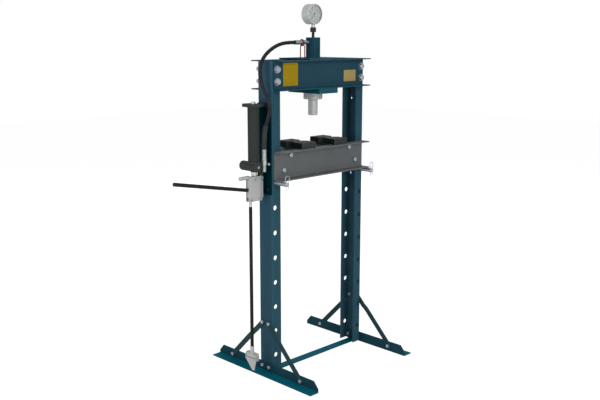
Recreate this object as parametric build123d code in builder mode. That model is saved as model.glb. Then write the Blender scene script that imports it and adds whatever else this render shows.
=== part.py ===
# Hydraulic workshop press: an H frame with a pinned bed, worked by a hand and foot pump.
# Frame of reference: origin on the floor midway between the posts, +X from the pump's post to
# the other one, -Y towards the operator, +Z up. Millimetres.
import os
from math import cos, hypot, radians, sin, tan

from build123d import *

os.makedirs("parts", exist_ok=True)

# Shared values
overrun = 20
running_clearance = 0.05
seat_gap = 0.3
bolt_clearance = 0.5
bolt_tail = 5
hex_crown_share = 0.95
hex_chamfer_angle = 30
LEFT = -1
RIGHT = 1
FRONT = -1
REAR = 1

# Posts: folded channels, webs outwards
frame_width = 750
frame_height = 1776
post_depth = 110
post_flange = 64
post_wall = 6
post_bend = 4
post_lift = 8
pin_hole_radius = 14
pin_hole_count = 8
pin_hole_first = 114
pin_hole_inset = 24
web_x = frame_width / 2
pin_hole_x = web_x - pin_hole_inset

# Feet: angle bars outside the webs, with cut corners
foot_length = 830
foot_leg = 63
foot_height = 60
foot_wall = 6
foot_bend = 5
foot_corner_run = 33
foot_corner_rise = 38
foot_bolt_spread = 28
foot_bolt_height = 36

# Braces: flat bars with a joggle from the foot to the web
brace_width = 30
brace_thickness = 6
brace_foot_reach = 287
brace_foot_height = 32
brace_top_reach = 26
brace_top_height = 297
brace_round_share = 0.48
brace_joggle_shares = (0.72, 0.80)

# Bolts that hold the base together
base_bolt_radius = 6
base_head_flats = 19
base_head_height = 8
base_nut_height = 10

# Cross tie: a flat bar on the floor with an upright plate at each end
tie_width = 52
tie_thickness = 6
tie_plate_width = 86
tie_plate_height = 56
tie_plate_round = 10

# Head and bed channels, folded, flanges away from the posts
channel_height = 160
channel_flange = 67
channel_wall = 6
channel_bend = 5
channel_inset = 13
channel_length = frame_width - 2 * channel_inset
channel_face = post_depth / 2
head_bottom = frame_height - channel_height
head_bolt_inset = 35
head_bolt_spread = 66
head_bolt_radius = 10
head_bolt_flats = 30
head_bolt_height = 13
head_nut_height = 16
head_washer_radius = 20
head_washer_thickness = 4
head_bolt_tail = 12

# Plates that carry the cylinder
top_plate_length = 300
top_plate_depth = 245
top_plate_thickness = 8
support_length = 150
support_depth = 250
support_thickness = 28
plate_edge = 2

# Cylinder and ram
barrel_radius = 40.5
barrel_bore = 32
barrel_rise = 121
barrel_cap = 17
barrel_edge = 1.5
gland_radius = 54.5
gland_height = 37
gland_lip = 12
gland_edge = 2
spanner_hole_radius = 4
spanner_hole_depth = 8
spanner_hole_count = 6
ram_radius = 27.2
ram_reach = 92
nose_height = 20
nose_edge = 4
nose_groove = 1.2
piston_height = 30
piston_gap = 25
seal_height = 6
seal_depth = 5
port_radius = 6
port_drop = 27

# Heights that follow from the head
top_plate_top = frame_height + top_plate_thickness
barrel_top = frame_height + barrel_rise
support_bottom = head_bottom - support_thickness
gland_bottom = support_bottom - gland_height
barrel_bottom = gland_bottom + gland_lip
ram_bottom = gland_bottom - ram_reach
piston_top = barrel_top - barrel_cap - piston_gap
piston_bottom = piston_top - piston_height
port_height = barrel_top - port_drop

# Gauge on its black adapter
adapter_stem_radius = 8
adapter_stem = 29
adapter_insert = 6
adapter_flats = 30
adapter_hex = 26
gauge_radius = 56.5
gauge_thickness = 58
gauge_reach = 19
gauge_wall = 3
gauge_back = 6
gauge_bezel = 6.5
gauge_lip = 2
gauge_edge = 2
gauge_rise = 73
gauge_neck_radius = 10.5
glass_thickness = 2
dial_thickness = 2
dial_depth = 8.5
dial_gap = 0.2
needle_width = 5
needle_thickness = 1.2
needle_length = 42
needle_tail = 13
needle_hub = 6
needle_spindle = 1.5
needle_zero_angle = 135
gauge_z = barrel_top + adapter_stem + adapter_hex + gauge_rise
gauge_front = -gauge_reach

# Hose and its ends
hose_radius = 10
fitting_radius = 9
fitting_reach = 20
hose_nut_flats = 26
hose_nut_length = 25
ferrule_radius = 12.5
ferrule_length = 60
ferrule_crimp = 0.8
ferrule_crimp_shares = (0.25, 0.45, 0.65)
ferrule_crimp_width = 5
keeper_wire = 3
keeper_span = 34
keeper_offset = 12
keeper_bend = 8

# Bed: two channels on two pins, held apart by bolted tubes
pin_radius = 12.5
pin_tip = 155
pin_head_radius = 17
pin_head_height = 8
pin_edge = 2
clip_inset = 12
clip_wire = 1.75
clip_ring = 15
clip_drop = 34
clip_rise = 17
clip_neck = 4
clip_neck_angle = 50
clip_ring_angle = 280
bed_bolt_radius = 8
bed_bolt_flats = 24
bed_bolt_height = 10
bed_nut_height = 13
spacer_radius = 13
bed_upper_bolt_inset = 122
bed_upper_bolt_drop = 29
bed_lower_bolt_inset = 68
bed_lower_bolt_drop = 109
bed_row_drop = 501
block_length = 110
block_depth = 196
block_thickness = 34
block_offset = 132
block_notch_width = 56
block_notch_depth = 28
block_edge = 2
pin_row = head_bottom - bed_row_drop
pin_hole_pitch = (pin_row - pin_hole_first) / (pin_hole_count - 1)
pin_z = pin_row - (pin_hole_radius - pin_radius) + running_clearance
bed_bottom = pin_z + pin_radius + seat_gap
bed_top = bed_bottom + channel_height
bed_face = channel_face + seat_gap

# Pump on the outside of the left post
plate_width = 108
plate_drop = 161
plate_thickness = 6
plate_round = 6
plate_bolt_spread = 34
plate_bolt_low = 30
plate_bolt_high = 13
tank_offset = 76
pump_drop = 569
pump_barrel_radius = 26.5
pump_barrel_front = 35
pump_barrel_rear = 98
pump_barrel_round = 10
lug_half_width = 17
lug_height = 52
seat_radius = 36
seat_height = 10
boss_radius = 19
tank_radius = 32
tank_wall = 3
tank_length = 295
cap_thickness = 17
cap_rear = 63
cap_round = 12
cap_arm_width = 30
tank_bolt_radius = 6
tank_bolt_insert = 9
tank_bolt_flats = 22
tank_bolt_head = 12
pump_gland_radius = 15.5
pump_gland_height = 21
end_plug_flats = 13
end_plug_height = 5
valve_x_gap = 13
valve_radius = 4
valve_insert = 20
valve_reach = 26
knob_radius = 7
knob_length = 12
knob_edge = 1
elbow_offset = 37
elbow_reach = 24
elbow_radius = 10
elbow_stub_radius = 8
elbow_height = 37

# Pump lever
pivot_offset = 31
pivot_drop = 64
pivot_radius = 6
pivot_head_radius = 8
pivot_ear = 12
arm_half_width = 8.5
arm_radius = 13
cheek_gap = 18
cheek_thickness = 4
yoke_length = 92
yoke_outer = 49
yoke_rise = 12
yoke_height = 137
yoke_web_recess = 5
yoke_web_lift = 22
yoke_web_rise = 8
yoke_lip = 12
yoke_lip_foot = 18
yoke_lip_head = 23
plunger_radius = 8
plunger_top_gap = 6
plunger_eye_length = 24
plunger_eye_width = 16
plunger_eye_height = 20
plunger_pin_radius = 4
plunger_pin_drop = 4
plunger_pin_shift = 2.6
plunger_pin_play = 0.5
rod_pin_inset = 21
rod_pin_rise = 10
rod_pin_radius = 4
pin_stub = 6
spacer_bolt_inset = 7
spacer_bolt_radius = 4
spacer_bolt_head = 7
handle_radius = 10
handle_wall = 2.5
handle_tilt_angle = 10.9
handle_length = 492.5
handle_insert = 50
handle_drop = 72.3
handle_proud = 7.5
spigot_root = 12
stub_radius = 10.5
stub_length = 57
stub_drop = 2.5

# Foot rod and pedal
rod_radius = 7.5
rod_eye_radius = 9
rod_eye_width = 16
rod_end_radius = 8.5
rod_end_length = 38
hanger_top = 187
hanger_radius = 11
hanger_socket = 40
hanger_wall = 5
hanger_width = 76
hanger_depth = 30
pedal_pin_radius = 5
pedal_pin_drop = 12
pedal_wall = 4
pedal_play = 0.5
pedal_ear = 14
pedal_length = 97
pedal_tip_width = 18
pedal_lean_angle = 13

# Derived places on the left post
left_web = -web_x
plate_face = left_web - plate_thickness
foot_face = web_x + foot_wall
pump_x = plate_face - tank_offset
pump_z = frame_height - pump_drop
lug_bottom = pump_z - lug_height / 2
seat_top = pump_z + pump_barrel_radius + tank_wall
seat_bottom = seat_top - seat_height
tank_top = seat_top + tank_length
cap_top = tank_top + cap_thickness
plate_bottom = pump_z - plate_drop
plate_top = cap_top
elbow_x = plate_face - elbow_offset
elbow_y = -lug_half_width - elbow_reach
gland_seat = pump_z - pump_barrel_radius
pivot_x = plate_face - pivot_offset
pivot_z = pump_z - pivot_drop
yoke_left = pump_x - yoke_outer
yoke_right = yoke_left + yoke_length
yoke_top = pivot_z + yoke_rise
yoke_bottom = yoke_top - yoke_height
rod_pin_x = yoke_left + rod_pin_inset
rod_pin_z = yoke_bottom + rod_pin_rise
spacer_bolt_x = yoke_right - spacer_bolt_inset
handle_web_z = yoke_top - handle_drop
yoke_half = cheek_gap / 2 + cheek_thickness
web_front = yoke_left + yoke_web_recess
hose_nut_corner = hose_nut_flats / 2 / cos(radians(30))


def save(part, name):
    part.label = name
    export_step(part, f"parts/{name}.step")


def channel_profile(plane, height, flange, wall, bend):
    # C section with its web on the plane's y axis and its flanges along the plane's x
    with BuildSketch(plane) as profile:
        Rectangle(flange, height, align=(Align.MIN, Align.CENTER))
        fillet(profile.vertices().group_by(Axis.X)[0], wall + bend)
        with Locations((wall, 0)):
            Rectangle(flange, height - 2 * wall, align=(Align.MIN, Align.CENTER), mode=Mode.SUBTRACT)
        fillet(profile.vertices().group_by(Axis.X)[1], bend)
    return profile.sketch


def cut_round_holes(plane, points, radius, reach):
    # through holes at points of the plane, cut both ways along its normal
    with BuildSketch(plane) as holes:
        with Locations(*points):
            Circle(radius)
    extrude(holes.sketch, amount=reach, both=True, mode=Mode.SUBTRACT)


def add_hex(seat, flats, height, hole_radius=0):
    # hexagonal head or nut standing on a seat plane, its crown turned off by a cone
    crown = hex_crown_share * flats / 2
    with BuildPart(seat, mode=Mode.PRIVATE) as head:
        with BuildSketch(seat) as outline:
            RegularPolygon(flats / 2, 6, major_radius=False)
            if hole_radius:
                Circle(hole_radius, mode=Mode.SUBTRACT)
        extrude(outline.sketch, amount=height)
        skirt = crown + height / tan(radians(hex_chamfer_angle))
        Cone(skirt, crown, height, align=(Align.CENTER, Align.CENTER, Align.MIN), mode=Mode.INTERSECT)
    add(head.part)


def add_round(seat, radius, height, hole_radius=0):
    # round bar or tube standing on a seat plane
    with BuildSketch(seat) as outline:
        Circle(radius)
        if hole_radius:
            Circle(hole_radius, mode=Mode.SUBTRACT)
    extrude(outline.sketch, amount=height)


def hex_bolts(seats, radius, length, flats, head_height):
    # bolts with their heads on the seat planes and their shanks behind them
    with BuildPart() as bolts:
        for seat in seats:
            add_hex(seat, flats, head_height)
            add_round(seat, radius, -length)
    return bolts.part


def across(x, y, z, direction):
    # plane at a point whose normal is along X, one way or the other
    return Plane(origin=(x, y, z), x_dir=(0, direction, 0), z_dir=(direction, 0, 0))


def along(x, y, z, direction):
    # plane at a point whose normal is along Y, one way or the other
    return Plane(origin=(x, y, z), x_dir=(1, 0, 0), z_dir=(0, direction, 0))


def level(x, y, z):
    return Plane(origin=(x, y, z))


# Posts
def make_post(side):
    foot_holes = [(y * foot_bolt_spread, foot_bolt_height) for y in (FRONT, REAR)]
    brace_holes = [(y * brace_top_reach, brace_top_height) for y in (FRONT, REAR)]
    plate_holes = [
        (y * plate_bolt_spread, z)
        for y in (FRONT, REAR)
        for z in (plate_bottom + plate_bolt_low, plate_top - plate_bolt_high)
    ]
    pin_holes = [(side * pin_hole_x, pin_hole_first + i * pin_hole_pitch) for i in range(pin_hole_count)]
    head_holes = [(side * (web_x - head_bolt_inset), z) for z in head_bolt_rows]
    base = Plane(origin=(side * web_x, 0, post_lift), x_dir=(-side, 0, 0), z_dir=(0, 0, 1))
    with BuildPart() as post:
        section = channel_profile(base, post_depth, post_flange, post_wall, post_bend)
        extrude(section, amount=frame_height - post_lift)
        cut_round_holes(Plane.XZ, pin_holes, pin_hole_radius, post_depth)
        cut_round_holes(Plane.XZ, head_holes, head_bolt_radius + bolt_clearance, post_depth)
        web = Plane.YZ.offset(side * web_x)
        cut_round_holes(
            web, foot_holes + brace_holes + plate_holes, base_bolt_radius + bolt_clearance,
            post_wall + overrun,
        )
    return post.part


head_bolt_rows = [frame_height - channel_height / 2 + s * head_bolt_spread / 2 for s in (-1, 1)]
for side, word in ((LEFT, "left"), (RIGHT, "right")):
    save(make_post(side), f"{word}_post")


# Feet: the upright leg's corners are cut off at both ends
def make_foot(side):
    end = Plane(origin=(side * web_x, side * foot_length / 2, 0), x_dir=(side, 0, 0), z_dir=(0, -side, 0))
    holes = [(y * foot_bolt_spread, foot_bolt_height) for y in (FRONT, REAR)]
    holes += [(y * brace_foot_reach, brace_foot_height) for y in (FRONT, REAR)]
    half = foot_length / 2
    with BuildPart() as foot:
        with BuildSketch(end) as section:
            Rectangle(foot_leg, foot_height, align=(Align.MIN, Align.MIN))
            with Locations((foot_wall, foot_wall)):
                Rectangle(foot_leg, foot_height, align=(Align.MIN, Align.MIN), mode=Mode.SUBTRACT)
            inner = section.vertices().sort_by_distance((foot_wall, foot_wall))[0]
            fillet(inner, foot_bend)
        extrude(amount=foot_length)
        with BuildSketch(Plane.YZ.offset(side * web_x)):
            for y in (FRONT, REAR):
                with BuildLine():
                    Polyline(
                        (y * half, foot_height - foot_corner_rise),
                        (y * (half - foot_corner_run), foot_height),
                        (y * half, foot_height),
                        close=True,
                    )
                make_face()
        extrude(amount=foot_wall + foot_bend, both=True, mode=Mode.SUBTRACT)
        cut_round_holes(
            Plane.YZ.offset(side * web_x), holes, base_bolt_radius + bolt_clearance, foot_wall + overrun / 2
        )
    return foot.part


for side, word in ((LEFT, "left"), (RIGHT, "right")):
    save(make_foot(side), f"{word}_foot")


# Braces from the feet to the webs
def make_brace(side, y):
    run = y * (brace_top_reach - brace_foot_reach)
    rise = brace_top_height - brace_foot_height
    length = hypot(run, rise)
    start, stop = (share * length for share in brace_joggle_shares)
    end = brace_width / 2
    bar = Plane(
        origin=(side * foot_face, y * brace_foot_reach, brace_foot_height),
        x_dir=(0, run / length, rise / length),
        z_dir=(0, side * rise / length, -side * run / length),
    )
    bolt_holes = [(y * brace_foot_reach, brace_foot_height), (y * brace_top_reach, brace_top_height)]
    with BuildPart() as brace:
        with BuildSketch(bar):
            with BuildLine():
                Polyline(
                    (-end, 0),
                    (start, 0),
                    (stop, -foot_wall),
                    (length + end, -foot_wall),
                    (length + end, brace_thickness - foot_wall),
                    (stop, brace_thickness - foot_wall),
                    (start, brace_thickness),
                    (-end, brace_thickness),
                    close=True,
                )
            make_face()
        extrude(amount=brace_width / 2, both=True)
        fillet(brace.edges().filter_by(Axis.X), brace_width * brace_round_share)
        cut_round_holes(
            Plane.YZ.offset(side * web_x), bolt_holes, base_bolt_radius + bolt_clearance, foot_wall + overrun
        )
    return brace.part


for side, word in ((LEFT, "left"), (RIGHT, "right")):
    for y, place in ((FRONT, "front"), (REAR, "rear")):
        save(make_brace(side, y), f"{word}_{place}_brace")

# Cross tie
with BuildPart() as cross_tie:
    with BuildSketch(Plane.XY):
        Rectangle(frame_width - 2 * post_wall, tie_width)
    extrude(amount=tie_thickness)
    for side in (LEFT, RIGHT):
        with BuildSketch(across(side * (web_x - post_wall), 0, 0, -side)) as upright:
            with BuildLine():
                half = tie_plate_width / 2
                foot = tie_width / 2
                Polyline(
                    (-foot, 0), (foot, 0), (half, post_lift), (half, tie_plate_height),
                    (-half, tie_plate_height), (-half, post_lift), close=True,
                )
            make_face()
            fillet(upright.vertices().group_by(Axis.Y)[-1], tie_plate_round)
        extrude(amount=tie_thickness)
    tie_holes = [(y * foot_bolt_spread, foot_bolt_height) for y in (FRONT, REAR)]
    cut_round_holes(Plane.YZ, tie_holes, base_bolt_radius + bolt_clearance, web_x)
save(cross_tie.part, "cross_tie")

# Bolts of the base: foot to post and tie, brace to foot, brace to post
with BuildPart() as base_fasteners:
    for side in (LEFT, RIGHT):
        for y in (FRONT, REAR):
            stacks = (
                (foot_bolt_spread, foot_bolt_height, foot_face, web_x - post_wall - tie_thickness),
                (brace_foot_reach, brace_foot_height, foot_face + brace_thickness, web_x),
                (brace_top_reach, brace_top_height, web_x + brace_thickness, web_x - post_wall),
            )
            for reach, height, outer, inner in stacks:
                head = across(side * outer, y * reach, height, side)
                nut = across(side * inner, y * reach, height, -side)
                add_hex(head, base_head_flats, base_head_height)
                add_hex(nut, base_head_flats, base_nut_height)
                add_round(head, base_bolt_radius, -(outer - inner + base_nut_height + bolt_tail))
save(base_fasteners.part, "base_fasteners")


# Head and bed channels
def make_channel(y, face, bottom, bolt_points, bolt_radius):
    middle = bottom + channel_height / 2
    end = Plane(origin=(-y * channel_length / 2, y * face, middle), x_dir=(0, y, 0), z_dir=(y, 0, 0))
    with BuildPart() as channel:
        section = channel_profile(end, channel_height, channel_flange, channel_wall, channel_bend)
        extrude(section, amount=channel_length)
        web = Plane.XZ.offset(-y * face)
        cut_round_holes(web, bolt_points, bolt_radius + bolt_clearance, channel_wall + bolt_tail)
    return channel.part


head_bolt_points = [(s * (web_x - head_bolt_inset), z) for s in (LEFT, RIGHT) for z in head_bolt_rows]
for y, place in ((FRONT, "front"), (REAR, "rear")):
    channel = make_channel(y, channel_face, head_bottom, head_bolt_points, head_bolt_radius)
    save(channel, f"head_{place}_channel")

# Through bolts of the head, with washers and nuts
head_seat = channel_face + channel_wall
head_stack = 2 * (head_seat + head_washer_thickness) + head_nut_height + head_bolt_tail
front_seats = [along(x, -head_seat - head_washer_thickness, z, FRONT) for x, z in head_bolt_points]
save(hex_bolts(front_seats, head_bolt_radius, head_stack, head_bolt_flats, head_bolt_height), "head_bolts")

with BuildPart() as head_washers:
    for x, z in head_bolt_points:
        for y in (FRONT, REAR):
            seat = along(x, y * head_seat, z, y)
            add_round(seat, head_washer_radius, head_washer_thickness, head_bolt_radius + running_clearance)
save(head_washers.part, "head_washers")

with BuildPart() as head_nuts:
    for x, z in head_bolt_points:
        seat = along(x, head_seat + head_washer_thickness, z, REAR)
        add_hex(seat, head_bolt_flats, head_nut_height, head_bolt_radius + running_clearance)
save(head_nuts.part, "head_nuts")

# Plates above and below the head, bored for the cylinder
with BuildPart() as head_top_plate:
    with BuildSketch(Plane.XY.offset(frame_height)):
        RectangleRounded(top_plate_length, top_plate_depth, plate_edge)
        Circle(barrel_radius + running_clearance, mode=Mode.SUBTRACT)
    extrude(amount=top_plate_thickness)
save(head_top_plate.part, "head_top_plate")

with BuildPart() as ram_support_plate:
    with BuildSketch(Plane.XY.offset(support_bottom)):
        RectangleRounded(support_length, support_depth, plate_edge)
        Circle(barrel_radius + running_clearance, mode=Mode.SUBTRACT)
    extrude(amount=support_thickness)
save(ram_support_plate.part, "ram_support_plate")

# Cylinder barrel: closed at the top, with a port for the hose and one for the gauge
with BuildPart() as cylinder_barrel:
    add_round(level(0, 0, barrel_bottom), barrel_radius, barrel_top - barrel_bottom)
    chamfer(cylinder_barrel.edges().group_by(Axis.Z)[-1], barrel_edge)
    with BuildSketch(level(0, 0, barrel_bottom)):
        Circle(barrel_bore)
    extrude(amount=barrel_top - barrel_cap - barrel_bottom, mode=Mode.SUBTRACT)
    with BuildSketch(level(0, 0, barrel_top)):
        Circle(port_radius)
    extrude(amount=-barrel_cap, mode=Mode.SUBTRACT)
    with BuildSketch(level(0, 0, barrel_top)):
        Circle(adapter_stem_radius)
    extrude(amount=-adapter_insert, mode=Mode.SUBTRACT)
    with BuildSketch(across(0, 0, port_height, LEFT)):
        Circle(port_radius)
    extrude(amount=barrel_radius + overrun, mode=Mode.SUBTRACT)
    with BuildSketch(across(-barrel_radius + adapter_insert, 0, port_height, LEFT)):
        Circle(fitting_radius)
    extrude(amount=overrun, mode=Mode.SUBTRACT)
save(cylinder_barrel.part, "cylinder_barrel")

# Gland nut with spanner holes round its rim
with BuildPart() as cylinder_gland:
    add_round(level(0, 0, gland_bottom), gland_radius, gland_height, ram_radius + running_clearance)
    with BuildSketch(level(0, 0, barrel_bottom)):
        Circle(barrel_radius + running_clearance)
    extrude(amount=gland_height, mode=Mode.SUBTRACT)
    chamfer(cylinder_gland.edges().group_by(Axis.Z)[0].sort_by(SortBy.LENGTH)[-1], gland_edge)
    for i in range(spanner_hole_count):
        turn = radians(225 + i * 360 / spanner_hole_count)
        rim = Plane(
            origin=(gland_radius * cos(turn), gland_radius * sin(turn), gland_bottom + gland_height / 2),
            x_dir=(0, 0, 1),
            z_dir=(cos(turn), sin(turn), 0),
        )
        with BuildSketch(rim):
            Circle(spanner_hole_radius)
        extrude(amount=-spanner_hole_depth, mode=Mode.SUBTRACT)
save(cylinder_gland.part, "cylinder_gland")

# Ram with its piston head, seal and nose
seal_middle = piston_bottom + piston_height / 2
piston_radius = barrel_bore - running_clearance
with BuildPart() as ram:
    nose_top = ram_bottom + nose_height
    add_round(level(0, 0, nose_top), ram_radius, piston_top - nose_top)
    add_round(level(0, 0, piston_bottom), piston_radius, piston_height)
    with BuildSketch(level(0, 0, seal_middle - seal_height / 2)):
        Circle(piston_radius + overrun)
        Circle(piston_radius - seal_depth, mode=Mode.SUBTRACT)
    extrude(amount=seal_height, mode=Mode.SUBTRACT)
save(ram.part, "ram")

with BuildPart() as piston_seal:
    seal_seat = level(0, 0, seal_middle - seal_height / 2)
    add_round(seal_seat, piston_radius, seal_height, piston_radius - seal_depth)
save(piston_seal.part, "piston_seal")

with BuildPart() as ram_nose:
    add_round(level(0, 0, ram_bottom), ram_radius, nose_height)
    chamfer(ram_nose.edges().group_by(Axis.Z)[0], nose_edge)
    chamfer(ram_nose.edges().group_by(Axis.Z)[-1], nose_groove)
save(ram_nose.part, "ram_nose")

# Gauge adapter: a black stem with a hexagon
with BuildPart() as gauge_adapter:
    add_round(level(0, 0, barrel_top - adapter_insert), adapter_stem_radius, adapter_insert + adapter_stem)
    add_hex(level(0, 0, barrel_top + adapter_stem), adapter_flats, adapter_hex)
save(gauge_adapter.part, "gauge_adapter")

# Gauge case: a turned cup that faces the operator, with a neck below
dial_front = gauge_front + dial_depth
dial_radius = gauge_radius - gauge_wall - dial_gap
with BuildPart() as gauge_case:
    add_round(along(0, gauge_front, gauge_z, REAR), gauge_radius, gauge_thickness)
    chamfer(gauge_case.edges().group_by(Axis.Y)[-1], gauge_edge)
    fillet(gauge_case.edges().group_by(Axis.Y)[0], gauge_edge)
    add_round(level(0, 0, gauge_z - gauge_rise), gauge_neck_radius, gauge_rise - gauge_radius + overrun)
    with BuildSketch(along(0, gauge_front + gauge_lip, gauge_z, REAR)):
        Circle(gauge_radius - gauge_wall)
    extrude(amount=dial_depth + dial_thickness - gauge_lip, mode=Mode.SUBTRACT)
    with BuildSketch(along(0, gauge_front, gauge_z, REAR)):
        Circle(gauge_radius - gauge_bezel)
    extrude(amount=gauge_thickness - gauge_back, mode=Mode.SUBTRACT)
save(gauge_case.part, "gauge_case")

with BuildPart() as gauge_dial:
    dial_seat = along(0, dial_front, gauge_z, REAR)
    add_round(dial_seat, dial_radius, dial_thickness, needle_spindle + running_clearance)
save(gauge_dial.part, "gauge_dial")

with BuildPart() as gauge_glass:
    add_round(along(0, gauge_front + gauge_lip, gauge_z, REAR), dial_radius, glass_thickness)
save(gauge_glass.part, "gauge_glass")

# Needle: points down and to the left at rest
with BuildPart() as gauge_needle:
    face = Plane(
        origin=(0, dial_front - seat_gap, gauge_z),
        x_dir=(cos(radians(needle_zero_angle)), 0, sin(radians(needle_zero_angle))),
        z_dir=(0, FRONT, 0),
    )
    with BuildSketch(face):
        with BuildLine():
            Polyline(
                (-needle_width / 2, -needle_tail), (needle_width / 2, -needle_tail),
                (needle_width / 6, needle_length), (-needle_width / 6, needle_length), close=True,
            )
        make_face()
        Circle(needle_hub)
    extrude(amount=needle_thickness)
    add_round(face, needle_spindle, -(dial_thickness + seat_gap))
save(gauge_needle.part, "gauge_needle")

# Hose ends: the upper set runs along -X from the cylinder, the lower one up from the pump
nipple_end = barrel_radius + fitting_reach
upper_nut = across(-nipple_end, 0, port_height, LEFT)
upper_ferrule = upper_nut.offset(hose_nut_length)
elbow_bottom = lug_bottom
elbow_top = elbow_bottom + elbow_height
lower_nut = Plane(origin=(elbow_x, elbow_y, elbow_top), x_dir=(0, 1, 0), z_dir=(0, 0, 1))
lower_ferrule = lower_nut.offset(hose_nut_length)

with BuildPart() as port_nipple:
    nipple_seat = across(-barrel_radius + adapter_insert, 0, port_height, LEFT)
    add_round(nipple_seat, fitting_radius, fitting_reach + adapter_insert)
save(port_nipple.part, "port_nipple")

with BuildPart() as hose_nuts:
    for seat in (upper_nut, lower_nut):
        add_hex(seat, hose_nut_flats, hose_nut_length)
save(hose_nuts.part, "hose_nuts")

with BuildPart() as hose_ferrules:
    for seat in (upper_ferrule, lower_ferrule):
        add_round(seat, ferrule_radius, ferrule_length)
        for share in ferrule_crimp_shares:
            with BuildSketch(seat.offset(share * ferrule_length)):
                Circle(ferrule_radius + overrun)
                Circle(ferrule_radius - ferrule_crimp, mode=Mode.SUBTRACT)
            extrude(amount=ferrule_crimp_width, mode=Mode.SUBTRACT)
save(hose_ferrules.part, "hose_ferrules")

# Elbow that takes the hose into the side of the pump
with BuildPart() as pump_elbow:
    add_round(level(elbow_x, elbow_y, elbow_bottom), elbow_radius, elbow_height)
    stub = along(elbow_x, elbow_y, elbow_bottom + elbow_height / 2, REAR)
    add_round(stub, elbow_stub_radius, -elbow_y - lug_half_width)
save(pump_elbow.part, "pump_elbow")

# Hose: straight runs joined by tangent arcs, chosen by hand
hose_start = upper_ferrule.offset(ferrule_length).origin
hose_end = lower_ferrule.offset(ferrule_length).origin
hose_from_start = [
    (-50.5, 0, 0), (-122.5, -8, -8), (-190.5, -16, -32), (-246.5, -22, -69), (-275.5, -21, -121),
]
hose_from_end = [
    (-6, 20, 387), (1, 13, 331), (14, -13, 277), (20, -27, 227), (16, -20, 171), (6, -5, 117), (1, 0, 63),
    (0, 0, 24),
]
hose_points = [hose_start] + [hose_start + Vector(step) for step in hose_from_start]
hose_points += [hose_end + Vector(step) for step in hose_from_end] + [hose_end]
hose_bend_share = 0.45
hose_radii = []
for before, here, after in zip(hose_points, hose_points[1:], hose_points[2:]):
    turn = (here - before).get_angle(after - here)
    shorter = min((here - before).length, (after - here).length)
    hose_radii.append(hose_bend_share * shorter / tan(radians(turn / 2)))
print("hose bend radii:", [round(radius) for radius in hose_radii])

with BuildPart() as hose:
    with BuildLine() as hose_line:
        FilletPolyline(*hose_points, radius=hose_radii)
    with BuildSketch(Plane(origin=hose_start, z_dir=hose_points[1] - hose_start)):
        Circle(hose_radius)
    sweep(path=hose_line.wires()[0])
print("hose length:", round(hose_line.wires()[0].length), "volume share:",
      round(hose.part.volume / (Circle(hose_radius).area * hose_line.wires()[0].length), 4))
save(hose.part, "hose")

# Keeper: a red wire that stands on the top plate and rings the hose end
keeper_x = upper_ferrule.origin.X - keeper_offset
with BuildPart() as hose_keeper:
    keeper_top = port_height - hose_nut_corner - keeper_wire
    with BuildLine() as keeper_line:
        FilletPolyline(
            (keeper_x - keeper_wire, 0, top_plate_top),
            (keeper_x - keeper_wire, 0, keeper_top),
            (keeper_x - keeper_wire + keeper_span, 0, keeper_top),
            (keeper_x - keeper_wire + keeper_span, 0, top_plate_top),
            radius=keeper_bend,
        )
    with BuildSketch(level(keeper_x - keeper_wire, 0, top_plate_top)):
        Circle(keeper_wire)
    sweep(path=keeper_line.wires()[0])
    with Locations(across(keeper_x + keeper_bend, 0, port_height, RIGHT)):
        Torus(ferrule_radius + keeper_wire + running_clearance, keeper_wire)
save(hose_keeper.part, "hose_keeper")

# Pins that carry the bed, with a cross hole for the clip
with BuildPart() as bed_pins:
    rear_seat = bed_face + channel_flange + pin_edge
    clip_y = -pin_tip + clip_inset
    for side in (LEFT, RIGHT):
        add_round(along(side * pin_hole_x, -pin_tip, pin_z, REAR), pin_radius, pin_tip + rear_seat)
        add_round(along(side * pin_hole_x, rear_seat, pin_z, REAR), pin_head_radius, pin_head_height)
    chamfer(bed_pins.edges().group_by(Axis.Y)[0], pin_edge)
    clip_points = [(s * pin_hole_x, clip_y) for s in (LEFT, RIGHT)]
    cut_round_holes(Plane.XY.offset(pin_z), clip_points, clip_wire + running_clearance, pin_radius + overrun)
save(bed_pins.part, "bed_pins")

# Clips: spring wire with a ring above the pin, one leg through it and one beside it
with BuildPart() as pin_clips:
    for side in (LEFT, RIGHT):
        upright = Plane(origin=(side * pin_hole_x, clip_y, pin_z), x_dir=(1, 0, 0), z_dir=(0, FRONT, 0))
        with BuildLine(upright) as clip_line:
            leg = Line((0, -clip_drop), (0, clip_rise))
            neck = JernArc(leg @ 1, leg % 1, clip_neck, clip_neck_angle)
            ring = JernArc(neck @ 1, neck % 1, clip_ring, -clip_ring_angle)
            waist = JernArc(ring @ 1, ring % 1, clip_neck, clip_neck_angle)
            free_leg = Line(waist @ 1, waist @ 1 + (waist % 1) * (clip_rise + clip_drop / 2))
            JernArc(free_leg @ 1, free_leg % 1, clip_ring, clip_neck_angle)
        with BuildSketch(level(side * pin_hole_x, clip_y, pin_z - clip_drop)):
            Circle(clip_wire)
        sweep(path=clip_line.wires()[0])
save(pin_clips.part, "pin_clips")

# Bed
bed_bolt_points = [
    (s * (channel_length / 2 - inset), bed_top - drop)
    for s in (LEFT, RIGHT)
    for inset, drop in (
        (bed_upper_bolt_inset, bed_upper_bolt_drop), (bed_lower_bolt_inset, bed_lower_bolt_drop)
    )
]
for y, place in ((FRONT, "front"), (REAR, "rear")):
    channel = make_channel(y, bed_face, bed_bottom, bed_bolt_points, bed_bolt_radius)
    save(channel, f"bed_{place}_channel")

with BuildPart() as bed_spacers:
    for x, z in bed_bolt_points:
        add_round(along(x, -bed_face, z, REAR), spacer_radius, 2 * bed_face, bed_bolt_radius + bolt_clearance)
save(bed_spacers.part, "bed_spacers")

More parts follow.
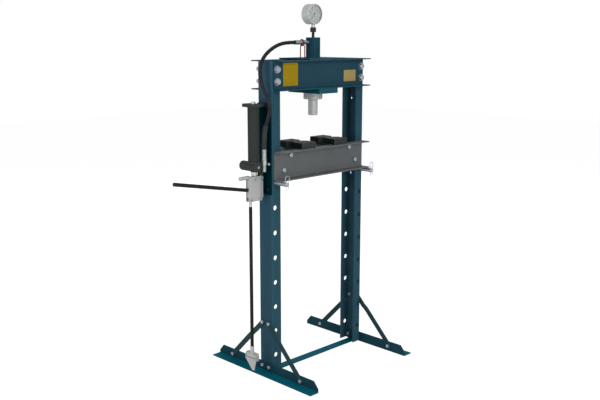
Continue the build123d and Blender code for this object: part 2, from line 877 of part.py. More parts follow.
bed_seat = bed_face + channel_wall
with BuildPart() as bed_fasteners:
    for x, z in bed_bolt_points:
        head = along(x, -bed_seat, z, FRONT)
        add_hex(head, bed_bolt_flats, bed_bolt_height)
        add_hex(along(x, bed_seat, z, REAR), bed_bolt_flats, bed_nut_height)
        add_round(head, bed_bolt_radius, -(2 * bed_seat + bed_nut_height + bolt_tail))
save(bed_fasteners.part, "bed_fasteners")


# Press blocks: plates with a vee in both long sides
def make_block(side):
    half = block_length / 2
    vee = block_notch_width / 2
    with BuildPart() as block:
        with BuildSketch(level(side * block_offset, 0, bed_top)):
            Rectangle(block_length, block_depth)
            for edge in (LEFT, RIGHT):
                with BuildLine():
                    Polyline(
                        (edge * half, -vee), (edge * (half - block_notch_depth), 0), (edge * half, vee),
                        close=True,
                    )
                make_face(mode=Mode.SUBTRACT)
        extrude(amount=block_thickness)
        chamfer(block.faces().sort_by(Axis.Z)[-1].edges(), block_edge)
    return block.part


for side, word in ((LEFT, "left"), (RIGHT, "right")):
    save(make_block(side), f"{word}_press_block")

# Plate that carries the pump on the left post's web
plate_rows = (plate_bottom + plate_bolt_low, plate_top - plate_bolt_high)
plate_bolt_points = [(y * plate_bolt_spread, z) for y in (FRONT, REAR) for z in plate_rows]
with BuildPart() as pump_plate:
    with BuildSketch(across(left_web, 0, (plate_bottom + plate_top) / 2, LEFT)):
        RectangleRounded(plate_width, plate_top - plate_bottom, plate_round)
    extrude(amount=plate_thickness)
    plate_hole = base_bolt_radius + bolt_clearance
    cut_round_holes(Plane.YZ.offset(left_web), plate_bolt_points, plate_hole, plate_thickness + overrun)
save(pump_plate.part, "pump_plate")

with BuildPart() as pump_fasteners:
    for y, z in plate_bolt_points:
        head = across(plate_face, y, z, LEFT)
        add_hex(head, base_head_flats, base_head_height)
        add_hex(across(left_web + post_wall, y, z, RIGHT), base_head_flats, base_nut_height)
        add_round(head, base_bolt_radius, -(plate_thickness + post_wall + base_nut_height + bolt_tail))
    add_hex(along(pump_x, -pump_barrel_front, pump_z, FRONT), end_plug_flats, end_plug_height)
save(pump_fasteners.part, "pump_fasteners")

# Pump body: one casting with the valve barrel, mounting lug, tank seat and fulcrum arm
valve_x = plate_face - valve_x_gap
valve_z = pump_z + lug_height / 4
plunger_top = pump_z + plunger_top_gap
with BuildPart() as pump_body:
    barrel_seat = along(pump_x, -pump_barrel_front, pump_z, REAR)
    add_round(barrel_seat, pump_barrel_radius, pump_barrel_front + pump_barrel_rear)
    fillet(pump_body.edges().group_by(Axis.Y)[-1], pump_barrel_round)
    chamfer(pump_body.edges().group_by(Axis.Y)[0], plate_edge)
    with BuildSketch(Plane.XZ.offset(-lug_half_width)):
        with Locations((plate_face, pump_z)):
            Rectangle(plate_face - pump_x, lug_height, align=(Align.MAX, Align.CENTER))
    extrude(amount=2 * lug_half_width)
    add_round(level(pump_x, 0, seat_bottom), seat_radius, seat_height)
    add_round(level(pump_x, 0, gland_seat), boss_radius, pump_barrel_radius)
    with BuildSketch(Plane.XZ.offset(-arm_half_width)):
        with Locations((pivot_x, pivot_z)):
            Circle(arm_radius)
            Rectangle(2 * arm_radius, pump_z - pivot_z, align=(Align.CENTER, Align.MIN))
    extrude(amount=2 * arm_half_width)
    pivot_hole = pivot_radius + running_clearance
    cut_round_holes(Plane.XZ, [(pivot_x, pivot_z)], pivot_hole, arm_half_width + overrun)
    with BuildSketch(level(pump_x, 0, gland_seat)):
        Circle(plunger_radius + running_clearance)
    extrude(amount=plunger_top + plate_edge - gland_seat, mode=Mode.SUBTRACT)
    with BuildSketch(level(pump_x, 0, seat_top)):
        Circle(tank_bolt_radius + running_clearance)
    extrude(amount=-tank_bolt_insert, mode=Mode.SUBTRACT)
    with BuildSketch(along(valve_x, -lug_half_width, valve_z, REAR)):
        Circle(valve_radius + running_clearance)
    extrude(amount=valve_insert, mode=Mode.SUBTRACT)
save(pump_body.part, "pump_body")

with BuildPart() as pump_gland:
    add_round(
        level(pump_x, 0, gland_seat - pump_gland_height), pump_gland_radius, pump_gland_height,
        plunger_radius + running_clearance,
    )
    chamfer(pump_gland.edges().group_by(Axis.Z)[0].sort_by(SortBy.LENGTH)[-1], plate_edge)
save(pump_gland.part, "pump_gland")

# Tank: a tube clamped between its seat and its cap by one long bolt
with BuildPart() as tank_tube:
    add_round(level(pump_x, 0, seat_top), tank_radius, tank_length, tank_radius - tank_wall)
save(tank_tube.part, "tank_tube")

with BuildPart() as tank_cap:
    with BuildSketch(level(pump_x, 0, tank_top)) as cap_outline:
        with Locations((0, -tank_radius)):
            Rectangle(2 * tank_radius, tank_radius + cap_rear, align=(Align.CENTER, Align.MIN))
        fillet(cap_outline.vertices(), cap_round)
        Rectangle(plate_face - pump_x, cap_arm_width, align=(Align.MIN, Align.CENTER))
        Circle(tank_bolt_radius + bolt_clearance, mode=Mode.SUBTRACT)
    extrude(amount=cap_thickness)
    chamfer(tank_cap.faces().sort_by(Axis.Z)[-1].outer_wire().edges(), plate_edge)
save(tank_cap.part, "tank_cap")

tank_bolt_seat = level(pump_x, 0, cap_top)
tank_bolt_length = cap_top - seat_top + tank_bolt_insert
tank_bolt = hex_bolts([tank_bolt_seat], tank_bolt_radius, tank_bolt_length, tank_bolt_flats, tank_bolt_head)
save(tank_bolt, "tank_bolt")

# Release valve: a knurled knob on a screw spindle
with BuildPart() as release_valve:
    knob_y = -lug_half_width - valve_reach
    add_round(along(valve_x, knob_y, valve_z, FRONT), knob_radius, knob_length)
    chamfer(release_valve.edges(), knob_edge)
    spindle_length = valve_reach + valve_insert - plate_edge
    add_round(along(valve_x, knob_y, valve_z, REAR), valve_radius, spindle_length)
save(release_valve.part, "release_valve")

# Lever yoke: two cheeks with turned-out lips, joined by a web, on the fulcrum arm
plunger_pin_z = pivot_z - plunger_pin_drop
handle_dir = Vector(-cos(radians(handle_tilt_angle)), 0, sin(radians(handle_tilt_angle)))
handle_mouth = Plane(origin=(web_front, 0, handle_web_z), x_dir=(0, 1, 0), z_dir=handle_dir)
spigot_radius = handle_radius - handle_wall - running_clearance
with BuildPart() as lever_yoke:
    for y in (FRONT, REAR):
        with BuildSketch(Plane.XZ.offset(-y * cheek_gap / 2)):
            with BuildLine():
                Polyline(
                    (yoke_left, yoke_bottom), (yoke_right, yoke_bottom), (yoke_right, yoke_top),
                    (yoke_left, yoke_top), close=True,
                )
            make_face()
            with Locations((pivot_x, pivot_z)):
                Circle(pivot_ear)
        extrude(amount=-y * cheek_thickness)
        lip_foot = yoke_bottom + yoke_lip_foot
        with BuildSketch(Plane.XY.offset(lip_foot)):
            with Locations((yoke_right, y * yoke_half)):
                Rectangle(cheek_thickness, 2 * yoke_lip, align=(Align.MAX, Align.CENTER))
            with Locations((yoke_right, 0)):
                Rectangle(cheek_thickness, 2 * yoke_half, align=(Align.MAX, Align.CENTER), mode=Mode.SUBTRACT)
        extrude(amount=yoke_top - yoke_lip_head - lip_foot)
    with BuildSketch(Plane.XY.offset(yoke_bottom + yoke_web_lift)):
        with Locations((web_front, 0)):
            Rectangle(cheek_thickness, cheek_gap, align=(Align.MIN, Align.CENTER))
    extrude(amount=yoke_height + yoke_web_rise - yoke_web_lift)
    pin_sizes = (
        (pivot_x, pivot_z, pivot_radius),
        (pump_x, plunger_pin_z, plunger_pin_radius),
        (rod_pin_x, rod_pin_z, rod_pin_radius),
        (spacer_bolt_x, rod_pin_z, spacer_bolt_radius),
    )
    for x, z, radius in pin_sizes:
        cut_round_holes(Plane.XZ, [(x, z)], radius + running_clearance, yoke_half + overrun)
    with BuildSketch(handle_mouth.offset(overrun)):
        Circle(spigot_radius + running_clearance)
    extrude(amount=-2 * overrun, mode=Mode.SUBTRACT)
save(lever_yoke.part, "lever_yoke")

# Pins of the lever: fulcrum, plunger, rod and a spacer bolt
with BuildPart() as lever_pins:
    pin_head = spacer_bolt_head - plate_edge
    heads = (pivot_head_radius, pin_head, pin_head, spacer_bolt_head)
    for (x, z, radius), head in zip(pin_sizes, heads):
        add_round(along(x, -yoke_half, z, REAR), radius, 2 * yoke_half)
        for y in (FRONT, REAR):
            add_round(along(x, y * yoke_half, z, y), head, pin_stub)
save(lever_pins.part, "lever_pins")

# On the yoke's web: the spigot that holds the hand lever, and a plain peg above it
with BuildPart() as lever_fittings:
    stub_z = yoke_top - stub_drop
    add_round(across(yoke_left - seat_gap, 0, stub_z, LEFT), stub_radius, stub_length)
    chamfer(lever_fittings.edges().group_by(Axis.X)[0], plate_edge)
    add_round(across(web_front, 0, stub_z, LEFT), spigot_radius, yoke_web_recess + plate_edge)
    add_round(handle_mouth.offset(-spigot_root), spigot_radius, spigot_root + handle_insert)
save(lever_fittings.part, "lever_fittings")

with BuildPart() as hand_lever:
    add_round(handle_mouth.offset(handle_proud), handle_radius, handle_length, handle_radius - handle_wall)
save(hand_lever.part, "hand_lever")

# Plunger with a slotted eye for its pin
with BuildPart() as plunger:
    add_round(level(pump_x, 0, plunger_pin_z), plunger_radius, plunger_top - plunger_pin_z)
    with BuildSketch(level(pump_x, 0, plunger_pin_z - plunger_eye_height / 2)):
        RectangleRounded(plunger_eye_length, plunger_eye_width, plate_edge)
    extrude(amount=plunger_eye_height)
    slot = plunger_pin_radius + plunger_pin_play
    with BuildSketch(Plane.XZ.offset(-plunger_eye_width)):
        with Locations((pump_x - slot, plunger_pin_z)):
            Rectangle(2 * slot + plunger_pin_shift, 2 * slot, align=(Align.MIN, Align.CENTER))
    extrude(amount=2 * plunger_eye_width, mode=Mode.SUBTRACT)
save(plunger.part, "plunger")

# Foot rod: a bright end with an eye, a black rod and a hanger for the pedal
with BuildPart() as rod_end:
    rod_top = rod_pin_z - rod_end_length
    add_round(along(rod_pin_x, -rod_eye_width / 2, rod_pin_z, REAR), rod_eye_radius, rod_eye_width)
    add_round(level(rod_pin_x, 0, rod_top), rod_end_radius, rod_end_length)
    cut_round_holes(Plane.XZ, [(rod_pin_x, rod_pin_z)], rod_pin_radius + running_clearance, rod_eye_width)
save(rod_end.part, "rod_end")

with BuildPart() as pedal_rod:
    add_round(level(rod_pin_x, 0, hanger_top), rod_radius, rod_top - hanger_top)
save(pedal_rod.part, "pedal_rod")

pedal_pin_z = hanger_top - hanger_socket - pedal_pin_drop
with BuildPart() as pedal_hanger:
    add_round(level(rod_pin_x, 0, hanger_top - hanger_socket), hanger_radius, hanger_socket)
    with BuildSketch(level(rod_pin_x, 0, hanger_top - hanger_socket)):
        RectangleRounded(hanger_depth, hanger_width, plate_edge)
    extrude(amount=-hanger_wall)
    for y in (FRONT, REAR):
        with BuildSketch(Plane.XZ.offset(-y * hanger_width / 2)):
            with Locations((rod_pin_x, hanger_top - hanger_socket)):
                Rectangle(hanger_depth, pedal_pin_drop, align=(Align.CENTER, Align.MAX))
            with Locations((rod_pin_x, pedal_pin_z)):
                Circle(hanger_depth / 2)
        extrude(amount=y * hanger_wall)
    cut_round_holes(Plane.XZ, [(rod_pin_x, pedal_pin_z)], pedal_pin_radius + running_clearance, hanger_width)
save(pedal_hanger.part, "pedal_hanger")

# Pedal: a folded tread that hangs from its pin
pedal_gap = hanger_width / 2 + pedal_play
pedal_half = pedal_gap + pedal_wall
with BuildPart() as pedal:
    for y in (FRONT, REAR):
        with BuildSketch(Plane.XZ.offset(-y * pedal_gap)):
            with Locations((rod_pin_x, pedal_pin_z)):
                Circle(pedal_ear)
                Rectangle(2 * pedal_ear, pedal_ear + hanger_depth / 2, align=(Align.CENTER, Align.MAX))
        extrude(amount=-y * pedal_wall)
    lean = radians(pedal_lean_angle)
    tread = Plane(
        origin=(rod_pin_x - pedal_ear, 0, pedal_pin_z - hanger_depth / 2),
        x_dir=(0, 1, 0),
        z_dir=(cos(lean), 0, sin(lean)),
    )
    tread_reach = hanger_depth / 2 - pedal_length
    with BuildSketch(tread):
        with BuildLine():
            tip = pedal_tip_width / 2
            Polyline(
                (-pedal_half, 0), (-pedal_half, -pedal_ear), (-tip, tread_reach), (tip, tread_reach),
                (pedal_half, -pedal_ear), (pedal_half, 0), close=True,
            )
        make_face()
    extrude(amount=pedal_wall)
    add_round(along(rod_pin_x, -pedal_half, pedal_pin_z, REAR), pedal_pin_radius, 2 * pedal_half)
save(pedal.part, "pedal")
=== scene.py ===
from math import cos, pi, radians, sin

import bmesh
import bpy
from mathutils import Matrix, Vector


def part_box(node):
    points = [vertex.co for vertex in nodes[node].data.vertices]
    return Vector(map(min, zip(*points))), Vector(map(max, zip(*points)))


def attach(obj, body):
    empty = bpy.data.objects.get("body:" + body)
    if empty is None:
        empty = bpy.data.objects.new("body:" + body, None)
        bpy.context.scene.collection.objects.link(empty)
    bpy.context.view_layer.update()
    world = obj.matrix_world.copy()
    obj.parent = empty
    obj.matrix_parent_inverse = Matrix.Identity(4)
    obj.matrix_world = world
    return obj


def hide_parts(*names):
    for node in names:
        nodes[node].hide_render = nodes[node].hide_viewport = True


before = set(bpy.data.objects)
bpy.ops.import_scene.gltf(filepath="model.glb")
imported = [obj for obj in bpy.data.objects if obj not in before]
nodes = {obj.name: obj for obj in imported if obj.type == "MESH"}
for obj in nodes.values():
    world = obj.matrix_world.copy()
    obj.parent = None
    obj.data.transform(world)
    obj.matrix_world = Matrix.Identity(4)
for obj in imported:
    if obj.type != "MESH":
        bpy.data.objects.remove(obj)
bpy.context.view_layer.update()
print("frame loaded,", len(nodes), "nodes")


# camera as in the photo
cameraSet = {"lens": 50, "sensor": 36, "place": (-3.43446, -3.35246, 1.91747), "tilt": 78.71, "turn": -44.81}

cameraData = bpy.data.cameras.new("camera")
cameraData.lens = cameraSet["lens"]
cameraData.sensor_width = cameraSet["sensor"]
camera = bpy.data.objects.new("camera", cameraData)
camera.location = cameraSet["place"]
camera.rotation_euler = (radians(cameraSet["tilt"]), 0, radians(cameraSet["turn"]))
bpy.context.scene.collection.objects.link(camera)
bpy.context.scene.camera = camera


# small helpers for node trees
def put(tree, kind, **values):
    node = tree.nodes.new("ShaderNode" + kind)
    for key, value in values.items():
        setattr(node, key, value)
    return node


def wire(tree, source, target):
    tree.links.new(source, target)


def ramp(tree, source, low, high):  # value from 0 at low to 1 at high, eased
    node = put(tree, "MapRange", interpolation_type="SMOOTHSTEP")
    node.inputs["From Min"].default_value = low
    node.inputs["From Max"].default_value = high
    wire(tree, source, node.inputs["Value"])
    return node.outputs["Result"]


def maths(tree, operation, first, second):
    node = put(tree, "Math", operation=operation)
    for socket, value in zip(node.inputs, (first, second)):
        if isinstance(value, (int, float)):
            socket.default_value = value
        else:
            wire(tree, value, socket)
    return node.outputs[0]


mixSockets = {"factor": 0, "first": 6, "second": 7, "result": 2}  # on a Mix node set to colours


def tint(tree, factor, first, second, blend="MIX"):
    node = put(tree, "Mix", data_type="RGBA", blend_type=blend)
    for label, value in (("factor", factor), ("first", first), ("second", second)):
        socket = node.inputs[mixSockets[label]]
        if isinstance(value, (int, float)):
            socket.default_value = value
        elif isinstance(value, tuple):
            socket.default_value = (*value, 1)
        else:
            wire(tree, value, socket)
    return node.outputs[mixSockets["result"]]


def noise(tree, coords, scale, detail, rough, stretch=None):  # settings list these in this order
    if stretch:
        mapping = put(tree, "Mapping")
        mapping.inputs["Scale"].default_value = stretch
        wire(tree, coords, mapping.inputs["Vector"])
        coords = mapping.outputs["Vector"]
    node = put(tree, "TexNoise")
    node.inputs["Scale"].default_value = scale
    node.inputs["Detail"].default_value = detail
    node.inputs["Roughness"].default_value = rough
    wire(tree, coords, node.inputs["Vector"])
    return node.outputs["Fac"]


def newGroup(name, ins, outs):
    group = bpy.data.node_groups.new(name, "ShaderNodeTree")
    kinds = {"colour": "NodeSocketColor", "value": "NodeSocketFloat", "vector": "NodeSocketVector"}
    for label, kind in ins:
        group.interface.new_socket(label, in_out="INPUT", socket_type=kinds[kind])
    for label, kind in outs:
        group.interface.new_socket(label, in_out="OUTPUT", socket_type=kinds[kind])
    return group, group.nodes.new("NodeGroupInput"), group.nodes.new("NodeGroupOutput")


# worn edges: where a small rounding would turn the surface, broken up by noise
wearSet = {"samples": 4, "turn": (0.01, 0.2), "chipNoise": (55, 5, 0.7), "chips": (0.4, 0.62)}


def makeEdgeWear():
    group, gin, gout = newGroup("wornEdges", [("Place", "vector"), ("Width", "value")], [("Wear", "value")])
    rounded = put(group, "Bevel", samples=wearSet["samples"])
    wire(group, gin.outputs["Width"], rounded.inputs["Radius"])
    flat = put(group, "NewGeometry")
    turn = put(group, "VectorMath", operation="DOT_PRODUCT")
    wire(group, rounded.outputs["Normal"], turn.inputs[0])
    wire(group, flat.outputs["Normal"], turn.inputs[1])
    edge = ramp(group, maths(group, "SUBTRACT", 1.0, turn.outputs["Value"]), *wearSet["turn"])
    chips = ramp(group, noise(group, gin.outputs["Place"], *wearSet["chipNoise"]), *wearSet["chips"])
    wire(group, maths(group, "MULTIPLY", edge, chips), gout.inputs["Wear"])
    return group


wearGroup = makeEdgeWear()


def wornEdges(tree, place, width):
    edges = put(tree, "Group", node_tree=wearGroup)
    edges.inputs["Width"].default_value = width
    wire(tree, place, edges.inputs["Place"])
    return edges.outputs["Wear"]


# sprayed coat: soft mottling, orange peel, rubbed spots and worn edges, with painted light and shade on faces turned
# up or along X
coatSet = {
    "topLightMask": (0.35, 0.95), "across": (0.45, 0.95), "mottleNoise": (5, 4, 0.6), "mottle": (0.3, 0.7),
    "darker": (0.9, 0.92, 0.93), "lighter": (1.08, 1.06, 1.05), "streakNoise": (26, 6, 0.7, (3, 3, 0.35)),
    "streaks": (0.6, 0.74), "spotNoise": (70, 3, 0.6), "spots": (0.46, 0.66), "edgeWidth": 0.0022,
    "peelNoise": (620, 2, 0.5), "mottleRough": 0.16, "rubShine": 0.12, "rubDepth": 0.8,
    "castNoise": (240, 4, 0.6), "bump": (0.0004, 0.25),
}


def makeCoat():
    group, gin, gout = newGroup(
        "sprayedCoat",
        [("Place", "vector"), ("Paint", "colour"), ("Level", "colour"), ("SideLightShade", "colour"), ("Rubbed", "colour"),
         ("Rubbing", "value"), ("Sheen", "value")],
        [("Colour", "colour"), ("Rough", "value"), ("Height", "value")],
    )
    place = gin.outputs["Place"]
    facing = put(group, "SeparateXYZ")
    wire(group, put(group, "TexCoord").outputs["Normal"], facing.inputs[0])
    # painted light and shade: faces turned up take the Level colour and faces along X the side colour, each lighter
    # or darker than the Paint
    topLightMask = ramp(group, maths(group, "ABSOLUTE", facing.outputs["Z"], 0), *coatSet["topLightMask"])
    across = ramp(group, maths(group, "ABSOLUTE", facing.outputs["X"], 0), *coatSet["across"])
    paint = tint(group, across, gin.outputs["Paint"], gin.outputs["SideLightShade"])
    paint = tint(group, topLightMask, paint, gin.outputs["Level"])
    mottle = noise(group, place, *coatSet["mottleNoise"])
    shade = tint(group, ramp(group, mottle, *coatSet["mottle"]), coatSet["darker"], coatSet["lighter"])
    paint = tint(group, 1.0, paint, shade, "MULTIPLY")
    streaks = ramp(group, noise(group, place, *coatSet["streakNoise"]), *coatSet["streaks"])
    spots = ramp(group, noise(group, place, *coatSet["spotNoise"]), *coatSet["spots"])
    rub = maths(group, "MULTIPLY", streaks, spots)
    rub = maths(group, "MAXIMUM", rub, wornEdges(group, place, coatSet["edgeWidth"]))
    rub = maths(group, "MULTIPLY", rub, gin.outputs["Rubbing"])
    wire(group, tint(group, rub, paint, gin.outputs["Rubbed"]), gout.inputs["Colour"])
    rough = maths(group, "ADD", gin.outputs["Sheen"], maths(group, "MULTIPLY", mottle, coatSet["mottleRough"]))
    rough = maths(group, "SUBTRACT", rough, maths(group, "MULTIPLY", rub, coatSet["rubShine"]))
    wire(group, rough, gout.inputs["Rough"])
    peel = noise(group, place, *coatSet["peelNoise"])
    height = maths(group, "SUBTRACT", peel, maths(group, "MULTIPLY", rub, coatSet["rubDepth"]))
    wire(group, height, gout.inputs["Height"])
    return group


# plated or turned metal: fine lay along one way, faint stains, polished edges
skinSet = {
    "stainNoise": (38, 5, 0.65), "stain": (0.35, 0.75), "layNoise": (55, 3, 0.6), "layBase": 0.55,
    "edgeWidth": 0.0012, "edgeShine": 0.7, "stainRough": 0.22, "stainDepth": 0.3, "bump": (0.0002, 0.15),
}


def makeMetalSkin():
    group, gin, gout = newGroup(
        "metalSkin",
        [("Place", "vector"), ("Lay", "vector"), ("Bright", "colour"), ("Dull", "colour"), ("Polish", "value")],
        [("Colour", "colour"), ("Rough", "value"), ("Height", "value")],
    )
    place = gin.outputs["Place"]
    stain = noise(group, place, *skinSet["stainNoise"])
    lay = noise(group, gin.outputs["Lay"], *skinSet["layNoise"])
    blend = maths(group, "MULTIPLY", ramp(group, stain, *skinSet["stain"]),
                  maths(group, "ADD", skinSet["layBase"], lay))
    polished = maths(group, "MULTIPLY", wornEdges(group, place, skinSet["edgeWidth"]), skinSet["edgeShine"])
    blend = ramp(group, maths(group, "SUBTRACT", blend, polished), 0.0, 1.0)
    wire(group, tint(group, blend, gin.outputs["Bright"], gin.outputs["Dull"]), gout.inputs["Colour"])
    rough = maths(group, "ADD", gin.outputs["Polish"], maths(group, "MULTIPLY", stain, skinSet["stainRough"]))
    wire(group, rough, gout.inputs["Rough"])
    height = maths(group, "ADD", lay, maths(group, "MULTIPLY", stain, skinSet["stainDepth"]))
    wire(group, height, gout.inputs["Height"])
    return group


coatGroup = makeCoat()
metalGroup = makeMetalSkin()


def startMaterial(name):
    material = bpy.data.materials.new(name)
    material.use_nodes = True
    tree = material.node_tree
    shader = tree.nodes["Principled BSDF"]
    coords = put(tree, "TexCoord").outputs["Object"]
    return material, tree, shader, coords


def addBump(tree, shader, height, depth, strength):
    bump = put(tree, "Bump")
    bump.inputs["Strength"].default_value = strength
    bump.inputs["Distance"].default_value = depth
    wire(tree, height, bump.inputs["Height"])
    wire(tree, bump.outputs["Normal"], shader.inputs["Normal"])


def paintMaterial(name, look):
    material, tree, shader, coords = startMaterial(name)
    coat = put(tree, "Group", node_tree=coatGroup)
    wire(tree, coords, coat.inputs["Place"])
    for label in ("Paint", "Level", "SideLightShade", "Rubbed"):
        coat.inputs[label].default_value = (*look.get(label, look["Paint"]), 1)
    coat.inputs["Rubbing"].default_value = look["Rubbing"]
    coat.inputs["Sheen"].default_value = look["Sheen"]
    wire(tree, coat.outputs["Colour"], shader.inputs["Base Color"])
    wire(tree, coat.outputs["Rough"], shader.inputs["Roughness"])
    shader.inputs["Specular IOR Level"].default_value = look["Gloss"]
    height = coat.outputs["Height"]
    if "Cast" in look:  # sand-cast grain under the paint
        grain = noise(tree, coords, *coatSet["castNoise"])
        height = maths(tree, "ADD", height, maths(tree, "MULTIPLY", grain, look["Cast"]))
    addBump(tree, shader, height, *coatSet["bump"])
    return material


def metalMaterial(name, look):
    material, tree, shader, coords = startMaterial(name)
    skin = put(tree, "Group", node_tree=metalGroup)
    wire(tree, coords, skin.inputs["Place"])
    mapping = put(tree, "Mapping")
    mapping.inputs["Scale"].default_value = look["Lay"]
    wire(tree, coords, mapping.inputs["Vector"])
    wire(tree, mapping.outputs["Vector"], skin.inputs["Lay"])
    for label in ("Bright", "Dull"):
        skin.inputs[label].default_value = (*look[label], 1)
    skin.inputs["Polish"].default_value = look["Polish"]
    colour = skin.outputs["Colour"]
    if "PaintedShade" in look:  # bolts painted over on the plate's side, in the plate's near-black teal that is painted shade
        apart = put(tree, "SeparateXYZ")
        wire(tree, coords, apart.inputs[0])
        colour = tint(tree, ramp(tree, apart.outputs["X"], *look["From"]), colour, look["PaintedShade"])
    wire(tree, colour, shader.inputs["Base Color"])
    wire(tree, skin.outputs["Rough"], shader.inputs["Roughness"])
    shader.inputs["Metallic"].default_value = look["Metal"]
    addBump(tree, shader, skin.outputs["Height"], *skinSet["bump"])
    return material


# a look gives what differs from the plain coat, and a missing Level or side colour is the Paint; these top and side
# colours are painted light and shade
plainCoat = {"Rubbing": 0.3, "Sheen": 0.5, "Gloss": 0.03}
paintLooks = {
    # tealPaint and its copies for the head, cylinder, support, braces and feet are one frame paint made lighter or
    # darker per part: painted light and shade
    "tealPaint": {"Paint": (0.019, 0.062, 0.086), "Level": (0.006, 0.062, 0.09), "SideLightShade": (0.024, 0.066, 0.098),
                  "Rubbed": (0.06, 0.12, 0.15)},
    "headTeal": {"Paint": (0.018, 0.053, 0.077), "Level": (0.006, 0.056, 0.08), "SideLightShade": (0.004, 0.04, 0.06),
                 "Rubbed": (0.06, 0.12, 0.15)},
    "cylinderTeal": {"Paint": (0.01, 0.043, 0.064), "Level": (0.006, 0.05, 0.07), "SideLightShade": (0.01, 0.04, 0.06),
                     "Rubbed": (0.05, 0.1, 0.13)},
    "supportTeal": {"Paint": (0.013, 0.066, 0.094), "Level": (0.004, 0.06, 0.085), "SideLightShade": (0.003, 0.052, 0.076),
                    "Rubbed": (0.05, 0.11, 0.14)},
    "braceTeal": {"Paint": (0.016, 0.056, 0.068), "Level": (0.006, 0.055, 0.07), "SideLightShade": (0.018, 0.048, 0.055),
                  "Rubbed": (0.07, 0.12, 0.13)},
    "footTeal": {"Paint": (0.003, 0.06, 0.085), "Level": (0.001, 0.088, 0.125), "SideLightShade": (0.009, 0.044, 0.064),
                 "Rubbed": (0.05, 0.11, 0.14)},
    # the pump plate's teal made almost black: painted shade over the whole plate
    "shadedPlateTeal": {"Paint": (0.0005, 0.016, 0.025), "Rubbed": (0.02, 0.05, 0.065), "Rubbing": 0.2, "Gloss": 0.0},
    "greyPaint": {"Paint": (0.102, 0.111, 0.113), "Level": (0.104, 0.112, 0.115), "Rubbed": (0.19, 0.2, 0.205),
                  "Rubbing": 0.4},
    "castBlack": {"Paint": (0.035, 0.041, 0.039), "Level": (0.03, 0.036, 0.034), "Rubbed": (0.075, 0.08, 0.08),
                  "Rubbing": 0.35, "Cast": 1.6},
    "tankBlack": {"Paint": (0.0255, 0.031, 0.029), "Rubbed": (0.07, 0.075, 0.075), "Sheen": 0.48},
    "leverBlack": {"Paint": (0.014, 0.014, 0.014), "Rubbed": (0.05, 0.05, 0.05), "Rubbing": 0.35, "Sheen": 0.44,
                   "Gloss": 0.06},
    # the blocks' sides along X are near black: painted shade
    "blockPaint": {"Paint": (0.036, 0.041, 0.042), "Level": (0.045, 0.049, 0.05), "SideLightShade": (0.008, 0.01, 0.01),
                   "Rubbed": (0.13, 0.135, 0.135), "Rubbing": 0.35},
    "redWire": {"Paint": (0.17, 0.006, 0.018), "Rubbed": (0.24, 0.03, 0.04), "Rubbing": 0.4, "Sheen": 0.36,
                "Gloss": 0.1},
    "labelGold": {"Paint": (0.318, 0.21, 0.008), "Rubbed": (0.4, 0.29, 0.06), "Rubbing": 0.4, "Sheen": 0.45},
    "labelPale": {"Paint": (0.318, 0.247, 0.09), "Rubbed": (0.4, 0.32, 0.14), "Rubbing": 0.4, "Sheen": 0.45},
    "plugBlack": {"Paint": (0.016, 0.016, 0.016), "Rubbed": (0.04, 0.04, 0.04), "Sheen": 0.42, "Gloss": 0.1},
}
metalLooks = {
    "zincPlate": {"Bright": (0.34, 0.37, 0.41), "Dull": (0.27, 0.3, 0.34), "Polish": 0.32, "Lay": (1, 1, 1),
                  "Metal": 0.9},
    # the plate-side ends of the pump bolts take the plate's near-black teal: painted shade
    "pumpZinc": {"Bright": (0.3, 0.33, 0.34), "Dull": (0.24, 0.27, 0.29), "Polish": 0.36, "Lay": (1, 1, 1),
                 "Metal": 0.85, "PaintedShade": (0.004, 0.02, 0.029), "From": (-0.42, -0.41)},
    "fittingZinc": {"Bright": (0.26, 0.3, 0.29), "Dull": (0.2, 0.24, 0.235), "Polish": 0.36, "Lay": (1, 1, 1),
                    "Metal": 0.85},
    "pressedZinc": {"Bright": (0.392, 0.402, 0.394), "Dull": (0.362, 0.372, 0.366), "Polish": 0.42, "Lay": (1, 1, 6),
                    "Metal": 0.8},
    "turnedSteel": {"Bright": (0.36, 0.382, 0.375), "Dull": (0.33, 0.35, 0.343), "Polish": 0.5, "Lay": (1, 1, 30),
                    "Metal": 0.35},
    "glandSteel": {"Bright": (0.325, 0.348, 0.34), "Dull": (0.295, 0.316, 0.309), "Polish": 0.5, "Lay": (1, 1, 30),
                   "Metal": 0.35},
    "gaugeSteel": {"Bright": (0.4, 0.414, 0.41), "Dull": (0.37, 0.384, 0.38), "Polish": 0.5, "Lay": (1, 16, 1),
                   "Metal": 0.5},
}
finish = {name: paintMaterial(name, {**plainCoat, **look}) for name, look in paintLooks.items()}
finish.update({name: metalMaterial(name, look) for name, look in metalLooks.items()})


# rubber with a fine grain, dusty in places
rubberSet = {"grainNoise": (900, 3, 0.6), "dustNoise": (14, 4, 0.6), "dust": (0.4, 0.75), "rough": 0.3,
             "dustRough": 0.2, "gloss": 0.12, "bump": (0.0003, 0.3)}


def rubberMaterial(name, deep, dusty):
    material, tree, shader, coords = startMaterial(name)
    grain = noise(tree, coords, *rubberSet["grainNoise"])
    dust = noise(tree, coords, *rubberSet["dustNoise"])
    colour = tint(tree, ramp(tree, dust, *rubberSet["dust"]), deep, dusty)
    wire(tree, colour, shader.inputs["Base Color"])
    rough = maths(tree, "ADD", rubberSet["rough"], maths(tree, "MULTIPLY", dust, rubberSet["dustRough"]))
    wire(tree, rough, shader.inputs["Roughness"])
    shader.inputs["Specular IOR Level"].default_value = rubberSet["gloss"]
    addBump(tree, shader, grain, *rubberSet["bump"])
    return material


# dial card with faint flecks
cardSet = {"fleckNoise": (300, 2, 0.5), "deep": (0.33, 0.347, 0.342), "pale": (0.35, 0.367, 0.362), "rough": 0.6,
           "gloss": 0.1, "bump": (0.0001, 0.1)}


